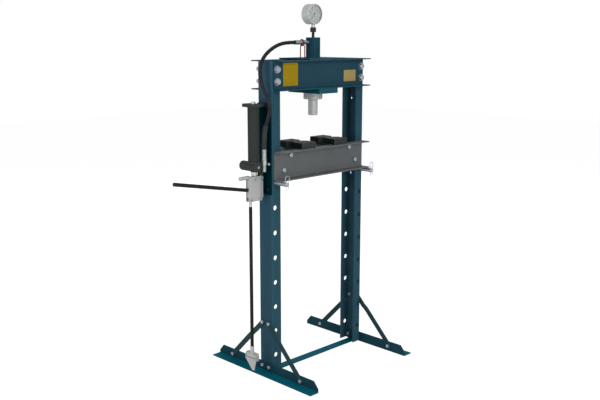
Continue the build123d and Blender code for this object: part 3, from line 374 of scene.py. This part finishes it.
def dialMaterial():
    material, tree, shader, coords = startMaterial("dialCard")
    fleck = noise(tree, coords, *cardSet["fleckNoise"])
    wire(tree, tint(tree, fleck, cardSet["deep"], cardSet["pale"]), shader.inputs["Base Color"])
    shader.inputs["Roughness"].default_value = cardSet["rough"]
    shader.inputs["Specular IOR Level"].default_value = cardSet["gloss"]
    addBump(tree, shader, fleck, *cardSet["bump"])
    return material


# printed ink, a little uneven
inkSet = {"fleckNoise": (500, 2, 0.5), "deepShare": 0.8, "rough": 0.55}


def inkMaterial(name, colour):
    material, tree, shader, coords = startMaterial(name)
    fleck = noise(tree, coords, *inkSet["fleckNoise"])
    deep = tuple(channel * inkSet["deepShare"] for channel in colour)
    wire(tree, tint(tree, fleck, deep, colour), shader.inputs["Base Color"])
    shader.inputs["Roughness"].default_value = inkSet["rough"]
    return material


# gauge glass, faintly smeared
glassSet = {"smearNoise": (30, 4, 0.6), "smearRough": 0.08, "colour": (0.97, 0.98, 0.98), "bend": 1.2}


def glassMaterial():
    material, tree, shader, coords = startMaterial("gaugeGlass")
    smear = noise(tree, coords, *glassSet["smearNoise"])
    wire(tree, maths(tree, "MULTIPLY", smear, glassSet["smearRough"]), shader.inputs["Roughness"])
    shader.inputs["Base Color"].default_value = (*glassSet["colour"], 1)
    shader.inputs["Transmission Weight"].default_value = 1.0
    shader.inputs["IOR"].default_value = glassSet["bend"]
    path = put(tree, "LightPath")  # light reaches the dial straight through the pane
    clear = put(tree, "BsdfTransparent")
    blend = put(tree, "MixShader")
    wire(tree, maths(tree, "MAXIMUM", path.outputs["Is Shadow Ray"], path.outputs["Is Diffuse Ray"]), blend.inputs[0])
    wire(tree, shader.outputs[0], blend.inputs[1])
    wire(tree, clear.outputs[0], blend.inputs[2])
    wire(tree, blend.outputs[0], tree.nodes["Material Output"].inputs["Surface"])
    return material


rubberLooks = {"hoseRubber": {"deep": (0.005, 0.006, 0.008), "dusty": (0.011, 0.013, 0.016)},
               "guardRubber": {"deep": (0.014, 0.018, 0.018), "dusty": (0.022, 0.027, 0.026)}}
inkLooks = {"dialInk": (0.25, 0.26, 0.26), "needleInk": (0.22, 0.22, 0.22)}
finish.update({name: rubberMaterial(name, **look) for name, look in rubberLooks.items()})
finish.update({name: inkMaterial(name, colour) for name, colour in inkLooks.items()})
finish["dialCard"] = dialMaterial()
finish["gaugeGlass"] = glassMaterial()
print("finishes made,", len(finish))


# finishes on the carried-over solids
dressing = {
    "tealPaint": "left_post right_post",
    "headTeal": "head_front_channel head_rear_channel head_top_plate",
    "cylinderTeal": "cylinder_barrel",
    "supportTeal": "ram_support_plate",
    "braceTeal": "left_front_brace left_rear_brace right_front_brace right_rear_brace",
    "footTeal": "left_foot right_foot cross_tie",
    "shadedPlateTeal": "pump_plate",
    "greyPaint": "bed_front_channel bed_rear_channel bed_spacers",
    "castBlack": "pump_body tank_cap",
    "tankBlack": "tank_tube gauge_adapter",
    "leverBlack": "hand_lever pedal_rod",
    "blockPaint": "left_press_block right_press_block",
    "redWire": "hose_keeper",
    "zincPlate": "base_fasteners head_bolts head_washers head_nuts bed_pins pin_clips bed_fasteners "
                 "tank_bolt lever_pins release_valve",
    "pumpZinc": "pump_fasteners",
    "fittingZinc": "hose_nuts hose_ferrules pump_elbow port_nipple",
    "pressedZinc": "lever_fittings lever_yoke rod_end pedal_hanger pedal pump_gland",
    "turnedSteel": "ram ram_nose plunger",
    "glandSteel": "cylinder_gland",
    "gaugeSteel": "gauge_case",
    "dialCard": "gauge_dial",
    "needleInk": "gauge_needle",
    "gaugeGlass": "gauge_glass",
    "hoseRubber": "hose piston_seal",
}
for look, names in dressing.items():
    for name in names.split():
        nodes[name].data.materials.clear()
        nodes[name].data.materials.append(finish[look])
print("solids dressed,", sum(len(names.split()) for names in dressing.values()))


# axes for the pieces, and a length that counts as nothing
xAxis, yAxis, zAxis = Vector((1, 0, 0)), Vector((0, 1, 0)), Vector((0, 0, 1))
tiny = 1e-6


# finished piece from a bmesh: merged, outward normals, riding on its body
def makePiece(name, mesh, look, body, smooth=False):
    bmesh.ops.remove_doubles(mesh, verts=mesh.verts, dist=tiny)
    bmesh.ops.recalc_face_normals(mesh, faces=mesh.faces)
    for face in mesh.faces:
        face.smooth = smooth
    data = bpy.data.meshes.new(name)
    mesh.to_mesh(data)
    mesh.free()
    data.materials.append(finish[look])
    piece = bpy.data.objects.new(name, data)
    bpy.context.scene.collection.objects.link(piece)
    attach(piece, body)
    return piece


# closed ring or turned solid: (radius, height) points spun round an axis, added to a mesh
def spinProfile(mesh, profile, start, axis, steps, closed):
    side = axis.orthogonal().normalized()
    corners = [mesh.verts.new(start + side * radius + axis * height) for radius, height in profile]
    pairs = list(zip(corners, corners[1:])) + ([(corners[-1], corners[0])] if closed else [])
    lines = [mesh.edges.new(pair) for pair in pairs]
    bmesh.ops.spin(mesh, geom=corners + lines, cent=start, axis=axis, angle=2 * pi, steps=steps, use_merge=True)


# box of a given size round the origin
def plainBox(size):
    mesh = bmesh.new()
    bmesh.ops.create_cube(mesh, size=1)
    bmesh.ops.scale(mesh, vec=size, verts=mesh.verts)
    return mesh


def roundEdges(mesh, edges, offset, steps):
    bmesh.ops.bevel(mesh, geom=edges, offset=offset, affect="EDGES", segments=steps, profile=0.5, material=-1)


# pressure hose: one smooth line over the points of its route
hoseSet = {
    "radius": 0.010, "length": 0.778, "roundness": 6, "smoothness": 10, "order": 3,
    "route": [
        (-0.1455, 0, 1.870), (-0.196, 0, 1.870), (-0.268, -0.008, 1.862), (-0.336, -0.016, 1.838),
        (-0.394, -0.022, 1.802), (-0.426, -0.021, 1.749), (-0.426, -0.021, 1.690), (-0.417, -0.028, 1.634),
        (-0.402, -0.054, 1.580), (-0.396, -0.068, 1.530), (-0.403, -0.061, 1.474), (-0.413, -0.046, 1.420),
        (-0.417, -0.041, 1.366), (-0.418, -0.041, 1.327), (-0.418, -0.041, 1.303),
    ],
}
hoseCurve = bpy.data.curves.new("pressure_hose", "CURVE")
hoseCurve.dimensions = "3D"
hoseCurve.bevel_depth = hoseSet["radius"]
hoseCurve.bevel_resolution = hoseSet["roundness"]
hoseCurve.resolution_u = hoseSet["smoothness"]
hoseCurve.use_fill_caps = True
line = hoseCurve.splines.new("NURBS")
line.points.add(len(hoseSet["route"]) - 1)
for point, place in zip(line.points, hoseSet["route"]):
    point.co = (*place, 1)
line.order_u = hoseSet["order"]
line.use_endpoint_u = True
hoseCurve.materials.append(finish["hoseRubber"])
hose = bpy.data.objects.new("pressure_hose", hoseCurve)
bpy.context.scene.collection.objects.link(hose)
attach(hose, "frame")
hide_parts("hose")

# rubber guard over the hose's lower end, with tapered ends and shallow grooves
guardSet = {"inner": 0.0096, "outer": 0.0136, "end": 0.0116, "groove": 0.0006, "grooves": 9, "perGroove": 4,
            "steps": 36,
            "line": [(-0.418, -0.041, 1.3032), (-0.418, -0.041, 1.327), (-0.4172, -0.0412, 1.36),
                     (-0.4157, -0.0429, 1.39), (-0.4135, -0.0457, 1.414), (-0.4112, -0.0489, 1.433)]}
stations = guardSet["perGroove"] * guardSet["grooves"]
spots = [Vector(place) for place in guardSet["line"]]
spans = len(spots) - 1
turns = [2 * pi * part / guardSet["steps"] for part in range(guardSet["steps"])]
rings = []
mesh = bmesh.new()
for count in range(stations + 1):
    step = min(count * spans // stations, spans - 1)
    centre = spots[step].lerp(spots[step + 1], count * spans / stations - step)
    along = (spots[min(step + 2, spans)] - spots[max(step - 1, 0)]).normalized()
    side = along.cross(yAxis).normalized()
    other = along.cross(side)
    grooved = count % guardSet["perGroove"] == guardSet["perGroove"] // 2
    radius = guardSet["outer"] - (guardSet["groove"] if grooved else 0)
    radius = guardSet["end"] if count in (0, stations) else radius
    rings.append([[mesh.verts.new(centre + (side * cos(turn) + other * sin(turn)) * reach) for turn in turns]
                  for reach in (guardSet["inner"], radius)])
for part in range(guardSet["steps"]):
    near = (part + 1) % guardSet["steps"]
    for first, second in zip(rings, rings[1:]):
        for layer in (0, 1):
            mesh.faces.new((first[layer][part], first[layer][near], second[layer][near], second[layer][part]))
    for ring in (rings[0], rings[-1]):
        mesh.faces.new((ring[0][part], ring[0][near], ring[1][near], ring[1][part]))
makePiece("hose_guard", mesh, "guardRubber", "frame", True)
print("hose laid")


# bare yellow plates on the head's front web
plateSet = {
    "back": -0.061, "thickness": 0.0006, "corner": 0.004, "cornerSteps": 5,
    "plates": {"large_label_plate": ((-0.2373, 1.6995), (0.112, 0.125), "labelGold"),
               "small_label_plate": ((0.2446, 1.6775), (0.103, 0.065), "labelPale")},
}
for name, ((x, z), (width, height), look) in plateSet["plates"].items():
    mesh = plainBox((width, plateSet["thickness"], height))
    corners = [edge for edge in mesh.edges if abs(edge.verts[0].co.y - edge.verts[1].co.y) > tiny]
    roundEdges(mesh, corners, plateSet["corner"], plateSet["cornerSteps"])
    bmesh.ops.translate(mesh, vec=(x, plateSet["back"] - plateSet["thickness"] / 2, z), verts=mesh.verts)
    makePiece(name, mesh, look, "frame")
print("label plates set")


# dial marks: fine and coarse strokes, and plain numbers
dialSet = {
    "face": -0.0105, "centre": 2.025, "radius": 0.046, "proud": 0.0003, "sweep": 270, "strokes": 40, "coarseEvery": 5,
    "fine": (0.0006, 0.0032), "coarse": (0.0011, 0.006), "numberRadius": 0.0335, "numberSize": 0.0075, "step": 5,
}


def dialAngle(count):
    return radians(dialSet["sweep"] * (count / dialSet["strokes"] - 0.5))


mesh = bmesh.new()
hub = Matrix.Translation((0, dialSet["face"] - dialSet["proud"] / 2, dialSet["centre"]))
for count in range(dialSet["strokes"] + 1):
    angle = dialAngle(count)
    width, length = dialSet["coarse"] if count % dialSet["coarseEvery"] == 0 else dialSet["fine"]
    shape = Matrix.Diagonal((width, dialSet["proud"], length, 1))
    lift = Matrix.Translation((0, 0, dialSet["radius"] - length / 2))
    bmesh.ops.create_cube(mesh, size=1, matrix=hub @ Matrix.Rotation(angle, 4, "Y") @ lift @ shape)
makePiece("dial_strokes", mesh, "dialInk", "frame")

mesh = bmesh.new()
for count in range(0, dialSet["strokes"] + 1, dialSet["coarseEvery"]):
    words = bpy.data.curves.new("dialNumber", "FONT")
    words.body = str(count // dialSet["coarseEvery"] * dialSet["step"])
    words.size = dialSet["numberSize"]
    words.align_x = "CENTER"
    words.align_y = "CENTER"
    words.extrude = dialSet["proud"] / 2
    holder = bpy.data.objects.new("dialNumber", words)
    drawn = bpy.data.meshes.new_from_object(holder)
    bpy.data.objects.remove(holder)
    angle = dialAngle(count)
    drawn.transform(Matrix.Rotation(pi / 2, 4, "X"))
    spot = Matrix.Translation((sin(angle) * dialSet["numberRadius"], 0, cos(angle) * dialSet["numberRadius"]))
    drawn.transform(hub @ spot)
    mesh.from_mesh(drawn)
    bpy.data.meshes.remove(drawn)
makePiece("dial_numbers", mesh, "dialInk", "frame")
print("dial marked")


# rubber rings: tank gaskets at both ends of the tube, and the wiper round the ram
gasketSet = {"proud": 0.0012, "inset": 0.0015, "thickness": 0.0022, "edgeShare": 0.3, "steps": 64}
low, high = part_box("tank_tube")
tankRadius = (high[0] - low[0]) / 2
tankAxis = Vector(((low[0] + high[0]) / 2, (low[1] + high[1]) / 2, 0))
inner, outer = tankRadius - gasketSet["inset"], tankRadius + gasketSet["proud"]
thickness = gasketSet["thickness"]
edge = thickness * gasketSet["edgeShare"]
profile = [(inner, 0), (outer - edge, 0), (outer, edge), (outer, thickness - edge), (outer - edge, thickness),
           (inner, thickness)]
mesh = bmesh.new()
for z in (low[2], high[2] - thickness):
    spinProfile(mesh, profile, tankAxis + Vector((0, 0, z)), zAxis, gasketSet["steps"], True)
makePiece("tank_gaskets", mesh, "hoseRubber", "frame", True)

wiperSet = {"rod": 0.0272, "gap": 0.0004, "width": 0.0045, "lip": 0.0012, "drop": 0.0022, "rim": 0.0005,
            "root": 0.0008, "steps": 64}
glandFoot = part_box("cylinder_gland")[0][2]
inner = wiperSet["rod"] + wiperSet["gap"]
outer = inner + wiperSet["width"]
profile = [(inner, wiperSet["root"]), (inner, -wiperSet["drop"]), (inner + wiperSet["lip"], -wiperSet["drop"]),
           (outer, -wiperSet["rim"]), (outer, wiperSet["root"])]
mesh = bmesh.new()
spinProfile(mesh, profile, Vector((0, 0, glandFoot)), zAxis, wiperSet["steps"], True)
makePiece("ram_wiper", mesh, "hoseRubber", "frame", True)
print("rubber rings set")


# plug in the hand lever's outer end
plugSet = {"root": (-0.501, 0, 1.0827), "tilt": 10.9, "reach": 0.5, "radius": 0.0101, "bore": 0.0074, "stem": 0.012,
           "seat": 0.0002, "rim": 0.0012, "dome": ((0.86, 0.0026), (0.5, 0.0034)), "crown": 0.0037, "steps": 40}
along = Vector((-cos(radians(plugSet["tilt"])), 0, sin(radians(plugSet["tilt"]))))
tip = Vector(plugSet["root"]) + along * plugSet["reach"]
radius, bore = plugSet["radius"], plugSet["bore"]
profile = [(0, -plugSet["stem"]), (bore, -plugSet["stem"]), (bore, plugSet["seat"]), (radius, plugSet["seat"]),
           (radius, plugSet["rim"]), *((radius * share, height) for share, height in plugSet["dome"]),
           (0, plugSet["crown"])]
mesh = bmesh.new()
spinProfile(mesh, profile, tip, along, plugSet["steps"], False)
makePiece("lever_end_plug", mesh, "plugBlack", "lever", True)
print("lever plugged")


# painted rod tube between the rod's end and the pedal's socket, with bevelled ends
rodSet = {"centre": (-0.485, 0), "radius": 0.0096, "edge": 0.0012, "steps": 40}
low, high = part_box("pedal_rod")
length = high[2] - low[2]
profile = [(0, 0), (rodSet["radius"] - rodSet["edge"], 0), (rodSet["radius"], rodSet["edge"]),
           (rodSet["radius"], length - rodSet["edge"]), (rodSet["radius"] - rodSet["edge"], length), (0, length)]
mesh = bmesh.new()
spinProfile(mesh, profile, Vector((*rodSet["centre"], low[2])), zAxis, rodSet["steps"], False)
rodTube = makePiece("pedal_rod_tube", mesh, "leverBlack", "foot_rod", True)
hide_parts("pedal_rod")
print("rod tube set")


# front plate between the hanger's cheeks, with rounded lower corners, clear of the pedal's swing
bridgeSet = {"front": -0.4975, "thickness": 0.003, "half": 0.0337, "foot": 0.1235, "top": 0.1432, "corner": 0.003,
             "cornerSteps": 6, "edge": 0.0005, "edgeSteps": 2}
mesh = plainBox((bridgeSet["thickness"], 2 * bridgeSet["half"], bridgeSet["top"] - bridgeSet["foot"]))
lowCorners = [edge for edge in mesh.edges if all(vert.co.z < 0 for vert in edge.verts)
              and abs(edge.verts[0].co.x - edge.verts[1].co.x) > tiny]
roundEdges(mesh, lowCorners, bridgeSet["corner"], bridgeSet["cornerSteps"])
rim = [edge for edge in mesh.edges if abs(edge.verts[0].co.x - edge.verts[1].co.x) < tiny]
roundEdges(mesh, rim, bridgeSet["edge"], bridgeSet["edgeSteps"])
middle = (bridgeSet["front"] + bridgeSet["thickness"] / 2, 0, (bridgeSet["top"] + bridgeSet["foot"]) / 2)
bmesh.ops.translate(mesh, vec=middle, verts=mesh.verts)
makePiece("hanger_front_plate", mesh, "pressedZinc", "foot_rod")
print("hanger bridged")


# dark seals where the hose's ferrules meet their nuts
sealSet = {"inner": 0.009, "outer": 0.0129, "thickness": 0.0026, "steps": 40,
           "lower": (-0.418, -0.041, 1.243), "upper": (-0.0855, 0, 1.87)}
half = sealSet["thickness"] / 2
profile = [(sealSet["inner"], -half), (sealSet["outer"] - half, -half), (sealSet["outer"], 0),
           (sealSet["outer"] - half, half), (sealSet["inner"], half)]
mesh = bmesh.new()
for place, axis in ((sealSet["lower"], zAxis), (sealSet["upper"], xAxis)):
    spinProfile(mesh, profile, Vector(place), axis, sealSet["steps"], True)
makePiece("hose_end_seals", mesh, "hoseRubber", "frame", True)
print("hose seals set")


# knurled band on the release knob
knurlSet = {"axis": (-0.394, 1.22), "band": (-0.0532, -0.0452), "radius": 0.0068, "ridge": 0.0011, "count": 28}
mesh = bmesh.new()
middle = (knurlSet["band"][0] + knurlSet["band"][1]) / 2
width = knurlSet["band"][1] - knurlSet["band"][0]
knob = Matrix.Translation((knurlSet["axis"][0], middle, knurlSet["axis"][1]))
for count in range(knurlSet["count"]):
    turn = Matrix.Rotation(2 * pi * count / knurlSet["count"], 4, "Y")
    shape = Matrix.Rotation(pi / 4, 4, "Y") @ Matrix.Diagonal((knurlSet["ridge"], width, knurlSet["ridge"], 1))
    bmesh.ops.create_cube(mesh, size=1, matrix=knob @ turn @ Matrix.Translation((knurlSet["radius"], 0, 0)) @ shape)
makePiece("release_knob_knurl", mesh, "zincPlate", "release_valve")
print("knob knurled")


# threads on the bolts' tails, as stacked rings with narrow crests, alike left and right
threadSet = {
    "rootDepth": 0.0004, "crestShare": 0.22, "flatShares": (0.45, 0.55), "steps": 32,
    "headBolts": ((0.34, 1.663), (0.34, 1.729)), "bedInsets": ((0.122, 0.029), (0.068, 0.109)),
}
low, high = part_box("bed_front_channel")
bedBolts = [(high[0] - inset, high[2] - drop) for inset, drop in threadSet["bedInsets"]]
threads = {
    "head_bolt_threads": {"body": "frame", "radius": 0.010, "pitch": 0.0025, "from": 0.0812, "to": 0.0928,
                          "places": threadSet["headBolts"]},
    "bed_bolt_threads": {"body": "bed", "radius": 0.008, "pitch": 0.002, "from": 0.0745, "to": 0.0792,
                         "places": bedBolts},
}
for name, thread in threads.items():
    mesh = bmesh.new()
    pitch = thread["pitch"]
    root, crest = thread["radius"] - threadSet["rootDepth"], thread["radius"] + pitch * threadSet["crestShare"]
    profile = [(root, 0), *((crest, pitch * share) for share in threadSet["flatShares"]), (root, pitch)]
    for side in (-1, 1):
        for x, z in thread["places"]:
            y = thread["from"]
            while y + pitch <= thread["to"] + tiny:
                spinProfile(mesh, profile, Vector((side * x, y, z)), yAxis, threadSet["steps"], True)
                y += pitch
    makePiece(name, mesh, "zincPlate", thread["body"])
print("threads cut")


# rippled weld beads round the barrel's foot and the hanger's socket
beadSet = {
    "sizeShare": 0.75, "sides": 10, "perRipple": 4, "swell": 0.2,
    "beads": {
        "barrel_weld": {"body": "frame", "look": "cylinderTeal", "slot": "frame_paint", "centre": (0, 0, 1.784),
                        "radius": 0.0405, "size": 0.0042, "ripples": 46},
        "hanger_weld": {"body": "foot_rod", "look": "pressedZinc", "slot": "zinc", "centre": (-0.485, 0, 0.147),
                        "radius": 0.011, "size": 0.0022, "ripples": 22},
    },
}
turns = [2 * pi * step / beadSet["sides"] for step in range(beadSet["sides"])]
for name, bead in beadSet["beads"].items():
    mesh = bmesh.new()
    centre, thick = Vector(bead["centre"]), bead["size"] * beadSet["sizeShare"]
    profile = [(bead["radius"] + thick * cos(turn), thick * sin(turn)) for turn in turns]
    spinProfile(mesh, profile, centre, zAxis, bead["ripples"] * beadSet["perRipple"], True)
    for vert in mesh.verts:  # each ripple swells and falls along the ring
        out = vert.co - centre
        angle = Vector((1, 0)).angle_signed(out.xy)
        ring = centre + Vector((out.x, out.y, 0)).normalized() * bead["radius"]
        wave = 1 + beadSet["swell"] * sin(bead["ripples"] * angle)
        vert.co = ring + (vert.co - ring) * wave
    makePiece(name, mesh, bead["look"], bead["body"], True)
print("beads run")


# soft studio light, white ground and backdrop
stageSet = {"floorSize": 14, "floorCells": 2, "floorGrey": (0.8, 0.8, 0.8), "floorGlow": 0.8, "floorWhite": 1.17,
            "worldLight": 0.32, "worldWhite": 1.0}
lampSet = {
    "frontLamp": {"place": (-1.6, -6.0, 2.6), "aim": (0, 0, 1.0), "size": 3.0, "power": 250},
    "leftLamp": {"place": (-3.0, 0.3, 1.7), "aim": (-0.3, 0, 1.0), "size": 1.8, "power": 37},
    "topLamp": {"place": (-0.5, -1.5, 5.6), "aim": (0, 0, 1.0), "size": 4.0, "power": 70},
    "rearLamp": {"place": (4.2, 4.6, 3.0), "aim": (0, 0, 1.0), "size": 3.5, "power": 230, "glossy": False},
}
for name, lamp in lampSet.items():
    data = bpy.data.lights.new(name, "AREA")
    data.energy = lamp["power"]
    data.size = lamp["size"]
    light = bpy.data.objects.new(name, data)
    light.location = lamp["place"]
    light.rotation_euler = (Vector(lamp["aim"]) - Vector(lamp["place"])).to_track_quat("-Z", "Y").to_euler()
    light.visible_glossy = lamp.get("glossy", True)
    bpy.context.scene.collection.objects.link(light)


def seenDirectly(tree):  # 1 for camera, glossy and transmission rays
    path = put(tree, "LightPath")
    shown = maths(tree, "MAXIMUM", path.outputs["Is Camera Ray"], path.outputs["Is Glossy Ray"])
    return maths(tree, "MAXIMUM", shown, path.outputs["Is Transmission Ray"])


world = bpy.data.worlds.new("studio")
world.use_nodes = True
bpy.context.scene.world = world
tree = world.node_tree
strength = put(tree, "MapRange")
strength.inputs["To Min"].default_value = stageSet["worldLight"]
strength.inputs["To Max"].default_value = stageSet["worldWhite"]
wire(tree, seenDirectly(tree), strength.inputs["Value"])
backdrop = tree.nodes["Background"]
backdrop.inputs["Color"].default_value = (1, 1, 1, 1)
wire(tree, strength.outputs["Result"], backdrop.inputs["Strength"])

ground = bpy.data.materials.new("whiteGround")
ground.use_nodes = True
tree = ground.node_tree
tree.nodes.remove(tree.nodes["Principled BSDF"])
matt = put(tree, "BsdfDiffuse")
matt.inputs["Color"].default_value = (*stageSet["floorGrey"], 1)
glow = put(tree, "Emission")
glow.inputs["Strength"].default_value = stageSet["floorWhite"]
blendGround = put(tree, "MixShader")
wire(tree, maths(tree, "MULTIPLY", seenDirectly(tree), stageSet["floorGlow"]), blendGround.inputs[0])
wire(tree, matt.outputs[0], blendGround.inputs[1])
wire(tree, glow.outputs[0], blendGround.inputs[2])
wire(tree, blendGround.outputs[0], tree.nodes["Material Output"].inputs["Surface"])

mesh = bmesh.new()
cells = stageSet["floorCells"]
bmesh.ops.create_grid(mesh, x_segments=cells, y_segments=cells, size=stageSet["floorSize"])
floorData = bpy.data.meshes.new("floor")
mesh.to_mesh(floorData)
mesh.free()
floorData.materials.append(ground)
floor = bpy.data.objects.new("floor", floorData)
bpy.context.scene.collection.objects.link(floor)

bpy.context.scene.view_settings.view_transform = "Standard"
print("stage lit")
